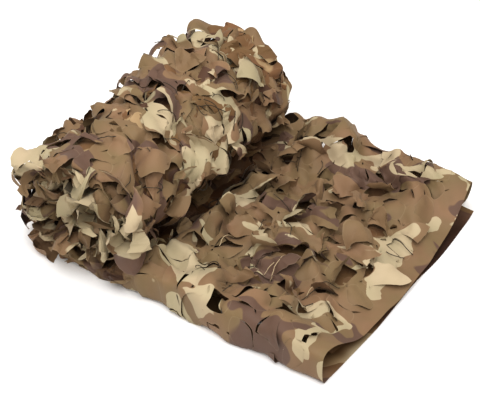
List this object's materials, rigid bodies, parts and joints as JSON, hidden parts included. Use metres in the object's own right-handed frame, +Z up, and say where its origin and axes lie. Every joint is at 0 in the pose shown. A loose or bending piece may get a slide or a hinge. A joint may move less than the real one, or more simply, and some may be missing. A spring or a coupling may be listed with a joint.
{
  "type": "camouflage netting",
  "caption": "Leaf-cut camouflage netting of printed cloth, folded in three along its length and rolled up from one end, with the rest of it lying flat.",
  "frame": {"origin": "middle of the netting's outer box, on the surface it lies on", "axes": "+X from the roll towards the flat end, +Y along the roll's axis to its far end, +Z up"},
  "size_m": [0.6626, 0.5584, 0.2459],
  "materials": {
    "camouflage_cloth": "matte printed cloth in brown, tan and purple-brown"
  },
  "bodies": {
    "root": {"net_cloth": "camouflage_cloth"}
  },
  "joints": []
}
